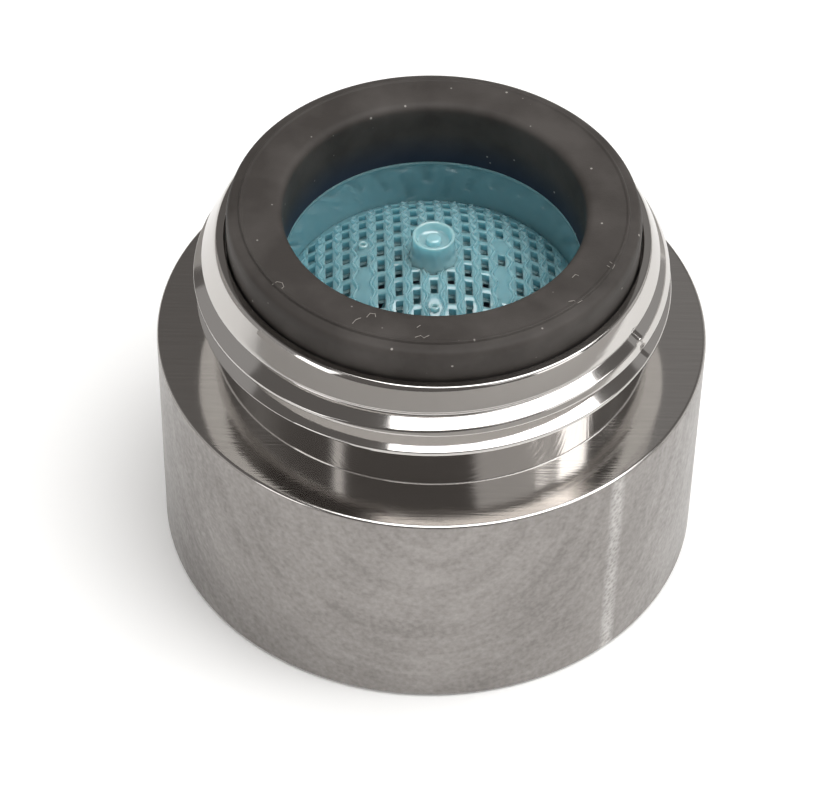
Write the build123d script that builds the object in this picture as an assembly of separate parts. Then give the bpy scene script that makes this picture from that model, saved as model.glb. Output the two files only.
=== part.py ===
from build123d import *
import os
from math import cos, radians, sqrt

# Tap aerator: a chromed brass sleeve with a male thread, a thick rubber washer and a
# plastic cartridge with a domed inlet strainer. Sizes are in millimetres. The origin is
# the centre of the outlet rim, and +Z runs up the sleeve's axis towards the inlet.

# Male thread, M18 x 1, right-hand
THREAD_R = 9.0
PITCH = 1.0
THREAD_DEPTH = 0.6134 * PITCH
CREST_FLAT = PITCH / 8
ROOT_FLAT = PITCH / 6
THREAD_START = 1.005
THREAD_OVERRUN = 0.8
GROOVE_CLEAR = 0.1
RUNOUT_SLOPE = 0.6

# Sleeve, outside
SKIRT_R = 10.5
SKIRT_H = 9.6
NECK_R = 8.33
NECK_H = 1.75
SPIGOT_H = 4.8
TIP_R = 8.14
LEAD_TAPER = 0.54
RIM_ROUND = 0.15
SHOULDER_ROUND = 0.08

# Sleeve, inside
MOUTH_R = 8.3
MOUTH_CHAMFER = 0.35
COLLAR_CLEAR = 0.2
COLLAR_H = 1.6
RECESS_WALL = 0.34
RECESS_DEPTH = 2.7

# Sealing washer
WASHER_CLEAR = 0.08
WASHER_WIDTH = 2.1
WASHER_H = 2.89
WASHER_BEVEL_IN = 0.47
WASHER_BEVEL_DOWN = 0.36
WASHER_LIP = 0.2
WASHER_FOOT = 0.12

# Inlet strainer
FLANGE_T = 1.2
FLANGE_CLEAR = 0.06
WELL_MARGIN = 0.04
STRAINER_WALL = 0.72
STRAINER_SKIRT_H = 2.1
DOME_OVER_SEAT = 0.075
DOME_SPHERE_R = 8.6
DOME_T = 0.38
MESH_PITCH_X = 0.6525
MESH_PITCH_Y = 0.8625
MESH_HOLE_X = 0.31
MESH_HOLE_Y = 0.62
MESH_EDGE = 0.4
MESH_TURN = 2.3
MESH_CROWN = 0.4
BLANKS = ((4, 1.5), (4, -0.5), (4, -1.5), (0, -2.5))
PIPS = ((-4, 1.5), (0, -2.5))
PIP_R = 0.18
PIP_H = 0.12
BOSS_TIP_R = 0.83
BOSS_FOOT_R = 0.95
BOSS_H = 0.98
BOSS_FLARE_H = 0.3
BOSS_LAND = 0.16
BOSS_DISH_DEPTH = 0.25
GATE_R = 0.22
GATE_H = 0.12
BEAD = 0.12
BEAD_DROP = 1.0

# Flow regulator
STACK_CLEAR = 0.04
REGULATOR_H = 1.9
REGULATOR_FLOOR = 0.6
REGULATOR_WALL = 0.7
CORE_R = 2.0
CORE_H = 2.3
LOBE_COUNT = 8
LOBE_R = 0.3
RING_CORD_R = 0.55
RING_SIDES = 12
RING_CLEAR = 0.08
SEAT_WALL = 0.5
PORT_COUNT = 8
PORT_W = 0.65

# Jet plate
JET_PLATE_H = 1.5
JET_FLOOR = 0.7
JET_RIM = 0.6
JET_COUNT = 16
JET_W = 0.5
JET_L = 0.75
JET_CIRCLE_R = 4.75

# Cartridge sleeve
SLEEVE_WALL = 0.55
SLEEVE_TOP_CLEAR = 0.1
BORE_CLEAR = 0.07
LEDGE_WIDTH = 0.55
LEDGE_T = 0.5
OUTLET_SETBACK = 0.6
OUTLET_LIP_WIDTH = 0.4
OUTLET_LIP_T = 0.4
WINDOW_COUNT = 6
WINDOW_W = 3.0
WINDOW_H = 0.9
WINDOW_DROP = 0.15

# Outlet stack
HONEYCOMB_T = 1.1
HONEYCOMB_RIM = 0.5
CELL_PITCH = 1.55
CELL_WEB = 0.28
GRID_COUNT = 2
GRID_T = 0.7
GRID_BAR_T = 0.45
GRID_RIM = 0.6
GRID_PITCH = 1.9
GRID_BAR = 0.5
GRID_TURN = 45
DEFLECTOR_T = 0.7
DEFLECTOR_RIM = 0.6
PIN_COUNT = 14
PIN_W = 0.5
PIN_REACH = 2.2

# Levels and radii that follow from the sizes above
NECK_TOP = SKIRT_H + NECK_H
TIP_Z = SKIRT_H + SPIGOT_H
LEDGE_Z = TIP_Z - RECESS_DEPTH
SEAT_Z = LEDGE_Z + FLANGE_T
RECESS_R = TIP_R - RECESS_WALL
WASHER_HOLE_R = RECESS_R - WASHER_CLEAR - WASHER_WIDTH
WELL_R = WASHER_HOLE_R + WELL_MARGIN
DOME_TOP_Z = SEAT_Z + DOME_OVER_SEAT
DOME_CENTRE_Z = DOME_TOP_Z - DOME_SPHERE_R
STRAINER_R = WELL_R + STRAINER_WALL
STRAINER_FOOT_Z = LEDGE_Z - STRAINER_SKIRT_H
BEAD_Z = LEDGE_Z - BEAD_DROP
BORE_R = STRAINER_R + BORE_CLEAR
SLEEVE_R = BORE_R + SLEEVE_WALL
COLLAR_R = SLEEVE_R + COLLAR_CLEAR
STACK_R = BORE_R - BORE_CLEAR
REGULATOR_TOP_Z = STRAINER_FOOT_Z - STACK_CLEAR
REGULATOR_Z = REGULATOR_TOP_Z - REGULATOR_H
REGULATOR_FLOOR_Z = REGULATOR_Z + REGULATOR_FLOOR
RING_R = CORE_R + LOBE_R + RING_CLEAR + RING_CORD_R
SEAT_R = RING_R + RING_CORD_R + RING_CLEAR
JET_TOP_Z = REGULATOR_Z - STACK_CLEAR
JET_Z = JET_TOP_Z - JET_PLATE_H
SLEEVE_LEDGE_Z = JET_Z - LEDGE_T
HONEYCOMB_Z = OUTLET_SETBACK + OUTLET_LIP_T
GRID_Z = HONEYCOMB_Z + HONEYCOMB_T + STACK_CLEAR
DEFLECTOR_Z = GRID_Z + GRID_COUNT * (GRID_T + STACK_CLEAR)


def turned(*edges):
    """A solid turned about Z from the edges of its half section, in the XZ plane."""
    return revolve(Plane.XZ * make_face(Curve() + list(edges)), Axis.Z)


def turned_outline(*points):
    """A solid turned about Z from the corners of its half section."""
    return revolve(Plane.XZ * make_face(Polyline(*points, close=True)), Axis.Z)


def disc(radius, z_low, height):
    return extrude(Pos(0, 0, z_low) * Circle(radius), height)


def ring(outer, inner, z_low, height):
    return extrude(Pos(0, 0, z_low) * (Circle(outer) - Circle(inner)), height)


def sphere_z(radius, at):
    """Height of the dome's concentric sphere of this radius at a distance from the axis."""
    return DOME_CENTRE_Z + sqrt(radius**2 - at**2)


def thread_groove():
    """The helical groove between two crests, a little deeper than the blank is wide."""
    height = TIP_Z - SKIRT_H - THREAD_START + THREAD_OVERRUN
    path = Pos(0, 0, SKIRT_H + THREAD_START) * Helix(PITCH, height, THREAD_R)
    root = ROOT_FLAT / 2
    mouth = (PITCH - CREST_FLAT) / 2
    over = mouth + GROOVE_CLEAR * (mouth - root) / THREAD_DEPTH
    corners = ((-THREAD_DEPTH, -root), (-THREAD_DEPTH, root), (GROOVE_CLEAR, over), (GROOVE_CLEAR, -over))
    across = Plane(origin=path @ 0, x_dir=(1, 0, 0), z_dir=path % 0)
    return sweep(across * make_face(Polyline(*corners, close=True)), path, is_frenet=True)


def housing():
    """Turned brass sleeve: skirt, shoulder, neck, threaded spigot and stepped bore."""
    runout = NECK_TOP + (THREAD_R - NECK_R) * RUNOUT_SLOPE
    full_thread_top = TIP_Z - (THREAD_R - TIP_R) / LEAD_TAPER
    cone_foot = LEDGE_Z - COLLAR_H - (MOUTH_R - COLLAR_R)
    blank = turned_outline(
        (MOUTH_R + MOUTH_CHAMFER, 0),
        (SKIRT_R - RIM_ROUND, 0),
        (SKIRT_R, RIM_ROUND),
        (SKIRT_R, SKIRT_H - SHOULDER_ROUND),
        (SKIRT_R - SHOULDER_ROUND, SKIRT_H),
        (NECK_R, SKIRT_H),
        (NECK_R, NECK_TOP),
        (THREAD_R, runout),
        (THREAD_R, full_thread_top),
        (TIP_R, TIP_Z),
        (RECESS_R, TIP_Z),
        (RECESS_R, LEDGE_Z),
        (COLLAR_R, LEDGE_Z),
        (COLLAR_R, LEDGE_Z - COLLAR_H),
        (MOUTH_R, cone_foot),
        (MOUTH_R, MOUTH_CHAMFER),
    )
    return blank - thread_groove()


def sealing_washer():
    """Thick flat rubber ring that fills the recess and stands proud of the spigot."""
    outer = RECESS_R - WASHER_CLEAR
    top = SEAT_Z + WASHER_H
    return turned_outline(
        (WASHER_HOLE_R, SEAT_Z),
        (outer - WASHER_FOOT, SEAT_Z),
        (outer, SEAT_Z + WASHER_FOOT),
        (outer, top - WASHER_BEVEL_DOWN),
        (outer - WASHER_BEVEL_IN, top),
        (WASHER_HOLE_R + WASHER_LIP, top),
        (WASHER_HOLE_R, top - WASHER_LIP),
    )


def strainer_shell():
    """Flange, well wall and dome of the strainer, before its mesh is pierced."""
    outer_edge = sphere_z(DOME_SPHERE_R, WELL_R)
    inner_r = DOME_SPHERE_R - DOME_T
    inner_edge = sphere_z(inner_r, WELL_R)
    half = WELL_R / 2
    return turned(
        ThreePointArc((0, DOME_TOP_Z), (half, sphere_z(DOME_SPHERE_R, half)), (WELL_R, outer_edge)),
        Polyline(
            (WELL_R, outer_edge),
            (WELL_R, SEAT_Z),
            (RECESS_R - FLANGE_CLEAR, SEAT_Z),
            (RECESS_R - FLANGE_CLEAR, LEDGE_Z),
            (STRAINER_R, LEDGE_Z),
            (STRAINER_R, BEAD_Z + BEAD),
            (STRAINER_R + BEAD, BEAD_Z),
            (STRAINER_R, BEAD_Z - BEAD),
            (STRAINER_R, STRAINER_FOOT_Z),
            (WELL_R, STRAINER_FOOT_Z),
            (WELL_R, inner_edge),
        ),
        ThreePointArc((WELL_R, inner_edge), (half, sphere_z(inner_r, half)), (0, DOME_TOP_Z - DOME_T)),
        Line((0, DOME_TOP_Z - DOME_T), (0, DOME_TOP_Z)),
    )


def strainer_boss():
    """Moulding boss at the crown: a flared foot, a dished top and the gate's small stub."""
    top = DOME_TOP_Z + BOSS_H
    foot = sphere_z(DOME_SPHERE_R, BOSS_FOOT_R)
    dish_r = BOSS_TIP_R - BOSS_LAND
    return turned(
        Line((0, DOME_TOP_Z - DOME_T / 2), (BOSS_FOOT_R, DOME_TOP_Z - DOME_T / 2)),
        Line((BOSS_FOOT_R, DOME_TOP_Z - DOME_T / 2), (BOSS_FOOT_R, foot)),
        Line((BOSS_FOOT_R, foot), (BOSS_TIP_R, foot + BOSS_FLARE_H)),
        Line((BOSS_TIP_R, foot + BOSS_FLARE_H), (BOSS_TIP_R, top)),
        Line((BOSS_TIP_R, top), (dish_r, top)),
        Line((dish_r, top), (GATE_R, top - BOSS_DISH_DEPTH)),
        Line((GATE_R, top - BOSS_DISH_DEPTH), (GATE_R, top - BOSS_DISH_DEPTH + GATE_H)),
        Line((GATE_R, top - BOSS_DISH_DEPTH + GATE_H), (0, top - BOSS_DISH_DEPTH + GATE_H)),
        Line((0, top - BOSS_DISH_DEPTH + GATE_H), (0, DOME_TOP_Z - DOME_T / 2)),
    )


def mesh_place(column, row):
    return (column * MESH_PITCH_X, row * MESH_PITCH_Y)


def mesh_places():
    """Centres of the strainer's staggered rectangular holes, clear of crown, pads and wall."""
    reach = WELL_R - MESH_EDGE
    columns = int(reach / MESH_PITCH_X)
    rows = int(reach / MESH_PITCH_Y) + 1
    places = []
    for column in range(-columns, columns + 1):
        shift = 0.0 if column % 2 else 0.5
        for row in range(-rows, rows + 1):
            x, y = mesh_place(column, row + shift)
            blank = (abs(column), row + shift) in BLANKS
            if MESH_CROWN < sqrt(x**2 + y**2) < reach and not blank:
                places.append((x, y))
    return places


def strainer_pip(column, row):
    """Small round stud on a place of the mesh that is left whole."""
    x, y = mesh_place(column, row)
    foot = sphere_z(DOME_SPHERE_R, sqrt(x**2 + y**2))
    height = DOME_T / 2 + PIP_H
    return Pos(x, y, foot - DOME_T / 2 + height / 2) * Cylinder(PIP_R, height)


def inlet_strainer():
    """Domed strainer moulded in one piece with its flange, well, boss and snap bead."""
    low = sphere_z(DOME_SPHERE_R - DOME_T, WELL_R)
    bars = [Pos(x, y, 0) * Rectangle(MESH_HOLE_X, MESH_HOLE_Y) for x, y in mesh_places()]
    pierce = extrude(Pos(0, 0, low) * (Sketch() + bars), DOME_TOP_Z - low)
    body = strainer_shell() - Rot(0, 0, MESH_TURN) * pierce
    for column, row in PIPS:
        body += Rot(0, 0, MESH_TURN) * strainer_pip(column, row)
    return body + strainer_boss()


def regulator_body():
    """Cup that meters the flow: lobed core, seat wall for the ring, and ports in the floor."""
    body = disc(STACK_R, REGULATOR_Z, REGULATOR_FLOOR)
    body += ring(STACK_R, STACK_R - REGULATOR_WALL, REGULATOR_FLOOR_Z, REGULATOR_H - REGULATOR_FLOOR)
    body += ring(SEAT_R + SEAT_WALL, SEAT_R, REGULATOR_FLOOR_Z, 2 * RING_CORD_R)
    lobes = Circle(CORE_R) + PolarLocations(CORE_R, LOBE_COUNT) * Circle(LOBE_R)
    body += extrude(Pos(0, 0, REGULATOR_FLOOR_Z) * lobes, CORE_H - REGULATOR_FLOOR)
    length = SEAT_R - CORE_R - LOBE_R
    middle = CORE_R + LOBE_R + length / 2
    slots = Sketch() + PolarLocations(middle, PORT_COUNT) * Rectangle(length, PORT_W)
    return body - extrude(Pos(0, 0, REGULATOR_Z) * slots, REGULATOR_FLOOR)


def regulator_ring():
    """Rubber ring that closes on the lobed core; flats stand for its round cord."""
    centre = REGULATOR_FLOOR_Z + RING_CORD_R
    half_side = 180 / RING_SIDES
    cord = RegularPolygon(RING_CORD_R, RING_SIDES, major_radius=False, rotation=half_side)
    return revolve(Plane.XZ * Pos(RING_R, centre) * cord, Axis.Z)


def jet_plate():
    """Cup with a circle of small slots that turn the flow into jets."""
    body = disc(STACK_R, JET_Z, JET_FLOOR)
    body += ring(STACK_R, STACK_R - JET_RIM, JET_Z + JET_FLOOR, JET_PLATE_H - JET_FLOOR)
    slots = Sketch() + PolarLocations(JET_CIRCLE_R, JET_COUNT) * Rectangle(JET_L, JET_W)
    return body - extrude(Pos(0, 0, JET_Z) * slots, JET_FLOOR)


def cartridge_sleeve():
    """Thin jacket with an inner ledge, air windows, an outlet lip and a snap groove."""
    top = LEDGE_Z - SLEEVE_TOP_CLEAR
    groove = BEAD + BORE_CLEAR
    body = turned_outline(
        (BORE_R - OUTLET_LIP_WIDTH, OUTLET_SETBACK),
        (SLEEVE_R, OUTLET_SETBACK),
        (SLEEVE_R, top),
        (BORE_R, top),
        (BORE_R, BEAD_Z + groove),
        (BORE_R + BEAD, BEAD_Z),
        (BORE_R, BEAD_Z - groove),
        (BORE_R, JET_Z),
        (BORE_R - LEDGE_WIDTH, JET_Z),
        (BORE_R - LEDGE_WIDTH, SLEEVE_LEDGE_Z),
        (BORE_R, SLEEVE_LEDGE_Z),
        (BORE_R, HONEYCOMB_Z),
        (BORE_R - OUTLET_LIP_WIDTH, HONEYCOMB_Z),
    )
    window_z = SLEEVE_LEDGE_Z - WINDOW_DROP - WINDOW_H / 2
    window = Pos(0, 0, window_z) * Box(4 * SLEEVE_WALL, WINDOW_W, WINDOW_H)
    for place in PolarLocations(SLEEVE_R - SLEEVE_WALL / 2, WINDOW_COUNT):
        body -= place * window
    return body


def deflector_ring():
    """Ring of inward pins that breaks the jets up where the air comes in."""
    inner = STACK_R - DEFLECTOR_RIM
    body = ring(STACK_R, inner, DEFLECTOR_Z, DEFLECTOR_T)
    length = PIN_REACH + DEFLECTOR_RIM / 2
    middle = inner + DEFLECTOR_RIM / 2 - length / 2
    pins = Sketch() + PolarLocations(middle, PIN_COUNT) * Rectangle(length, PIN_W)
    return body + extrude(Pos(0, 0, DEFLECTOR_Z) * pins, DEFLECTOR_T)


def mixing_grid(level):
    """Flat grid of crossed bars in a taller rim; the grids are turned to stagger the bars."""
    inner = STACK_R - GRID_RIM
    count = 2 * int(inner / GRID_PITCH) + 2
    gap = GRID_PITCH - GRID_BAR
    squares = Sketch() + GridLocations(GRID_PITCH, GRID_PITCH, count, count) * Rectangle(gap, gap)
    z_low = GRID_Z + level * (GRID_T + STACK_CLEAR)
    body = disc(STACK_R, z_low, GRID_T)
    body -= disc(inner, z_low + GRID_BAR_T, GRID_T - GRID_BAR_T)
    body -= extrude(Pos(0, 0, z_low) * (Circle(inner) & squares), GRID_BAR_T)
    return Rot(0, 0, level * GRID_TURN) * body


def outlet_honeycomb():
    """Stream straightener at the outlet: a plate of six-sided cells."""
    inner = STACK_R - HONEYCOMB_RIM
    across = CELL_PITCH - CELL_WEB
    cell_r = across / sqrt(3)
    row_pitch = CELL_PITCH * cos(radians(30))
    rows = int(inner / row_pitch)
    cells = []
    for row in range(-rows, rows + 1):
        shift = CELL_PITCH / 2 * (row % 2)
        for column in range(-rows - 1, rows + 2):
            x = column * CELL_PITCH + shift
            y = row * row_pitch
            if sqrt(x**2 + y**2) + across / 2 < inner:
                cells.append(Pos(x, y) * RegularPolygon(cell_r, 6, rotation=30))
    body = disc(STACK_R, HONEYCOMB_Z, HONEYCOMB_T)
    return body - extrude(Pos(0, 0, HONEYCOMB_Z) * (Sketch() + cells), HONEYCOMB_T)


def write_part(name, solid):
    solid.label = name
    export_step(solid, os.path.join("parts", name + ".step"))


def main():
    os.makedirs("parts", exist_ok=True)
    write_part("housing", housing())
    write_part("sealing_washer", sealing_washer())
    write_part("inlet_strainer", inlet_strainer())
    write_part("regulator_body", regulator_body())
    write_part("regulator_ring", regulator_ring())
    write_part("jet_plate", jet_plate())
    write_part("cartridge_sleeve", cartridge_sleeve())
    write_part("deflector_ring", deflector_ring())
    for level in range(GRID_COUNT):
        write_part(f"mixing_grid_{level + 1}", mixing_grid(level))
    write_part("outlet_honeycomb", outlet_honeycomb())


main()
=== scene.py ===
# %% [markdown]
# # Tap aerator
# The part screws into the end of a tap's spout and mixes air into the water. A chromed brass
# sleeve with a male thread holds a plastic cartridge, whose domed strainer shows from above,
# and a thick rubber washer lies on the cartridge's flange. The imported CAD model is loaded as
# a fixed frame. The sleeve, washer and strainer are rebuilt here with finer meshes, because
# mirror-like and glossy surfaces show every flat of a coarse one.

# %% Load the frame
from math import atan2, cos, exp, hypot, pi, radians, sin, sqrt

import bmesh
import bpy
from mathutils import Matrix, Vector


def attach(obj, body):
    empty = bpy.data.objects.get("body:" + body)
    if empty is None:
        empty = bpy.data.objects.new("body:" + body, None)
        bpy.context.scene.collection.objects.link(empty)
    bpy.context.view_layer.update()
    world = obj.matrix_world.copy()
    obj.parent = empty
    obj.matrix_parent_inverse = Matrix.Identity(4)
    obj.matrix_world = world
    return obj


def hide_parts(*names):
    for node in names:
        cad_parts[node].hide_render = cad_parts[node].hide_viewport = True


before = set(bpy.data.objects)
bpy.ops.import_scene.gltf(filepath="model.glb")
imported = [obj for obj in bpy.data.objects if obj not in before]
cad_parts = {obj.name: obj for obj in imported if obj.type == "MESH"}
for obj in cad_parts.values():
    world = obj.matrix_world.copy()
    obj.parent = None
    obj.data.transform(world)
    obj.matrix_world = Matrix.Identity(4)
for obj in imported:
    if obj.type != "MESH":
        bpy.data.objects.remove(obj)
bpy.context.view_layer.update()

MM = 0.001
print("nodes:", sorted(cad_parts))

# %% [markdown]
# Colours are written as sRGB hex values, as a colour picker shows them, and turned to the
# linear values that the shaders use. One function adds a shader node: numbers and colours go
# to its sockets, and a socket of another node becomes a link.

# %% Colours and nodes
def linear(code):
    """Linear RGBA of an sRGB hex colour."""
    parts = [int(code[i:i + 2], 16) / 255 for i in (1, 3, 5)]
    return [c / 12.92 if c <= 0.04045 else ((c + 0.055) / 1.055) ** 2.4 for c in parts] + [1.0]


def add(tree, kind, settings, sockets):
    """Adds a node with its settings, and fills or links its sockets."""
    node = tree.nodes.new(kind)
    for name, value in settings.items():
        setattr(node, name, value)
    for name, value in sockets.items():
        if isinstance(value, bpy.types.NodeSocket):
            tree.links.new(value, node.inputs[name])
        else:
            node.inputs[name].default_value = value
    return node


def new_material(name):
    """An empty node material, its tree and its output node."""
    material = bpy.data.materials.new(name)
    material.use_nodes = True
    material.node_tree.nodes.clear()
    output = material.node_tree.nodes.new("ShaderNodeOutputMaterial")
    return material, material.node_tree, output


# %% [markdown]
# The camera stands where a phone was held, 130 mm away and 46 degrees above the horizon, with
# a slight roll. Its long lens keeps the sleeve's upright walls nearly parallel.

# %% Camera
CAMERA_TILT = 0.7968
CAMERA_ROLL = 0.0195
CAMERA_DISTANCE = 129.957 * MM
CAMERA_TARGET = Vector((-0.526, 0.0, 5.688)) * MM
CAMERA_LENS = 143.57
SENSOR_WIDTH = 36.0
CLIP_START = 5 * MM

look = Vector((0, cos(CAMERA_TILT), -sin(CAMERA_TILT)))
upright = Vector((0, sin(CAMERA_TILT), cos(CAMERA_TILT)))
right = cos(CAMERA_ROLL) * Vector((1, 0, 0)) + sin(CAMERA_ROLL) * upright
up = right.cross(look)
camera = bpy.data.objects.new("camera", bpy.data.cameras.new("camera"))
camera.matrix_world = Matrix.Translation(CAMERA_TARGET - CAMERA_DISTANCE * look) @ (
    Matrix((right, up, -look)).transposed().to_4x4()
)
camera.data.lens = CAMERA_LENS
camera.data.sensor_width = SENSOR_WIDTH
camera.data.clip_start = CLIP_START
bpy.context.scene.collection.objects.link(camera)
bpy.context.scene.camera = camera
bpy.context.scene.view_settings.view_transform = "Standard"
print("camera at mm:", [round(value / MM, 1) for value in camera.location])

# %% [markdown]
# Turned parts are made as a workshop makes them: a half section goes round the axis. The
# outline is a ring of corners, each with the radius that rounds it, so that every edge
# catches a thin highlight. A thread's outline changes as it goes round, so the helper asks
# for the outline again at each step. Where corners fall together, their points are merged.

# %% Turning a part from its half section
ARC_STEPS = 3
MERGE = 0.0004 * MM
SHARP_EDGE = radians(38)


def rounded(corners):
    """Points (r, z, finish) of an outline, with each corner (r, z, radius, finish) rounded."""
    points = []
    count = len(corners)
    for i, (r, z, radius, finish) in enumerate(corners):
        here = Vector((r, z))
        before = Vector(corners[i - 1][:2]) - here
        after = Vector(corners[(i + 1) % count][:2]) - here
        reach = min(radius, before.length / 2, after.length / 2)
        start = here + before.normalized() * reach
        end = here + after.normalized() * reach
        for step in range(ARC_STEPS + 1):
            t = step / ARC_STEPS
            point = start * (1 - t) ** 2 + here * 2 * t * (1 - t) + end * t * t
            points.append((point.x, point.y, finish))
    return points


def corner_normals(work):
    """Shading normals by face corner: an average, by area, of the faces that run on smoothly."""
    area = [face.calc_area() for face in work.faces]
    limit = cos(SHARP_EDGE)
    normals = []
    for face in work.faces:
        for loop in face.loops:
            total = Vector((0, 0, 0))
            for near in loop.vert.link_faces:
                if near.normal.dot(face.normal) > limit:
                    total += near.normal * (area[near.index] / area[face.index])
            normals.append(total.normalized())
    return normals


def finished(name, verts, faces, finishes, materials):
    """An object from points in mm, merged and smoothly shaded, with its flats kept flat."""
    mesh = bpy.data.meshes.new(name)
    mesh.from_pydata([Vector(v) * MM for v in verts], [], faces)
    for material in materials:
        mesh.materials.append(material)
    mesh.polygons.foreach_set("material_index", finishes)
    work = bmesh.new()
    work.from_mesh(mesh)
    bmesh.ops.remove_doubles(work, verts=work.verts, dist=MERGE)
    bmesh.ops.dissolve_degenerate(work, edges=work.edges, dist=MERGE)
    bmesh.ops.recalc_face_normals(work, faces=work.faces)
    work.faces.index_update()
    for face in work.faces:
        face.smooth = True
    normals = corner_normals(work)
    work.to_mesh(mesh)
    work.free()
    mesh.normals_split_custom_set(normals)
    piece = bpy.data.objects.new(name, mesh)
    bpy.context.scene.collection.objects.link(piece)
    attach(piece, "root")
    print(name, "vertices:", len(mesh.vertices), "faces:", len(mesh.polygons))
    return piece


def turned(outline_at, sides):
    """Points and faces of a closed outline that goes round the axis and may change."""
    verts, faces, finishes = [], [], []
    for side in range(sides + 1):
        turn = side / sides
        angle = 2 * pi * turn
        column = rounded(outline_at(turn))
        rows = len(column)
        verts += [(r * cos(angle), r * sin(angle), z) for r, z, finish in column]
        if side:
            for row in range(rows):
                here, there = side * rows + row, side * rows + (row + 1) % rows
                faces.append((here - rows, here, there, there - rows))
                finishes.append(column[row][2])
    return verts, faces, finishes


# %% [markdown]
# The studio: a pale floor that rises to a low pale wall far away, a large softbox overhead
# that reaches to the right, a window with its post to the left and two to the right, and weak
# panels for the walls. Polished chrome has no colour of its own: its bright bands are these
# lamps, and its dark bands are the dim room behind the camera. A mirror turns light through
# twice its own angle, so a lamp stands twice as far round as the place on the spigot that
# shows it. The floor's paper also glows weakly, but only for the camera, for mirrors and
# through clear things, so it looks white without lighting anything matt.

# %% Floor, room and lamps
FLOOR_R = 1200.0
WALL_H = 380.0
FLOOR_SIDES = 96
ROOM = "#73706e"
FLOOR_COLOUR = "#f8f8f7"
WALL_COLOUR = "#e9e7e5"
PAPER_GLOW = 0.13

world = bpy.data.worlds.new("dim room")
world.use_nodes = True
world.node_tree.nodes["Background"].inputs["Color"].default_value = linear(ROOM)
world.node_tree.nodes["Background"].inputs["Strength"].default_value = 1.0
bpy.context.scene.world = world


def matt(name, colour, glow):
    """A matt paint or paper for the studio. Its glow is seen, but lights nothing matt."""
    material, tree, output = new_material(name)
    shader = add(tree, "ShaderNodeBsdfDiffuse", {}, {"Color": linear(colour)})
    ray = add(tree, "ShaderNodeLightPath", {}, {})
    eye = add(tree, "ShaderNodeMath", {"operation": "ADD"}, {
        0: ray.outputs["Is Camera Ray"], 1: ray.outputs["Is Glossy Ray"],
    })
    seen = add(tree, "ShaderNodeMath", {"operation": "ADD"}, {
        0: eye.outputs["Value"], 1: ray.outputs["Is Transmission Ray"],
    })
    strength = add(tree, "ShaderNodeMath", {"operation": "MULTIPLY"}, {
        0: seen.outputs["Value"], 1: glow,
    })
    light = add(tree, "ShaderNodeEmission", {}, {"Strength": strength.outputs["Value"]})
    both = add(tree, "ShaderNodeAddShader", {}, {
        0: shader.outputs["BSDF"], 1: light.outputs["Emission"],
    })
    tree.links.new(both.outputs["Shader"], output.inputs["Surface"])
    return material


floor_mesh = bpy.data.meshes.new("floor")
# Radius and height of the rings where the floor bends up into the wall.
sweep = [
    (0.98 * FLOOR_R, 0), (0.995 * FLOOR_R, 0.02 * WALL_H),
    (FLOOR_R, 0.1 * WALL_H), (FLOOR_R, WALL_H),
]
floor_points = [(0, 0, 0)]
floor_faces = []
for ring, (r, z) in enumerate(sweep):
    for side in range(FLOOR_SIDES):
        angle = 2 * pi * side / FLOOR_SIDES
        floor_points.append((r * cos(angle), r * sin(angle), z))
        here = 1 + ring * FLOOR_SIDES + side
        beside = 1 + ring * FLOOR_SIDES + (side + 1) % FLOOR_SIDES
        if ring:
            floor_faces.append((here - FLOOR_SIDES, beside - FLOOR_SIDES, beside, here))
        else:
            floor_faces.append((0, here, beside))
floor_mesh.from_pydata([Vector(p) * MM for p in floor_points], [], floor_faces)
floor_mesh.materials.append(matt("pale matt paper", FLOOR_COLOUR, PAPER_GLOW))
floor_mesh.materials.append(matt("grey wall", WALL_COLOUR, 0.0))
wall_faces = len(floor_faces) - FLOOR_SIDES
floor_mesh.polygons.foreach_set("material_index", [0] * FLOOR_SIDES + [1] * wall_faces)
floor_mesh.polygons.foreach_set("use_smooth", [True] * len(floor_mesh.polygons))
floor = bpy.data.objects.new("floor", floor_mesh)
bpy.context.scene.collection.objects.link(floor)


def softbox(name, place, width, height, radiance, aim=(0, 0, 10)):
    """A rectangular lamp in mm that faces the part, as bright as the radiance says."""
    lamp = bpy.data.lights.new(name, "AREA")
    lamp.shape = "RECTANGLE"
    lamp.size = width * MM
    lamp.size_y = height * MM
    lamp.energy = radiance * pi * width * height * MM * MM
    piece = bpy.data.objects.new(name, lamp)
    piece.location = Vector(place) * MM
    forward = (Vector(aim) - Vector(place)).normalized()
    across = forward.cross(Vector((0, 0, 1)))
    across = across.normalized() if across.length > 0.01 else Vector((1, 0, 0))
    axes = Matrix((across, across.cross(forward), -forward)).transposed()
    piece.rotation_euler = axes.to_euler()
    bpy.context.scene.collection.objects.link(piece)
    return piece


def direction(azimuth, elevation, distance):
    """A place in mm, seen from the part: azimuth 0 is the camera's side, 90 is the right."""
    a, e = radians(azimuth), radians(elevation)
    return (distance * cos(e) * sin(a), -distance * cos(e) * cos(a), distance * sin(e))


lamps = [
    softbox("overhead softbox", (290, -20, 1000), 1000, 800, 4.2, aim=(290, -20, 0)),
    softbox("left window", direction(-56, 22, 1300), 420, 620, 3.2),
    softbox("window post", direction(-49, 46, 1300), 85, 440, 1.3),
    softbox("left wall", direction(-100, 25, 1300), 1500, 1000, 0.28),
    softbox("right window", direction(83, 45, 1100), 240, 420, 4.0),
    softbox("low right window", direction(62, 18, 1300), 520, 560, 2.0),
    softbox("grey panel", direction(51, 47, 1100), 700, 560, 0.7),
    softbox("right wall", direction(122, 22, 1200), 1300, 800, 0.3),
    softbox("rear wall", direction(172, 45, 1100), 220, 420, 0.12),
]
print("lamps in W:", [round(lamp.data.energy, 2) for lamp in lamps])

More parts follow.
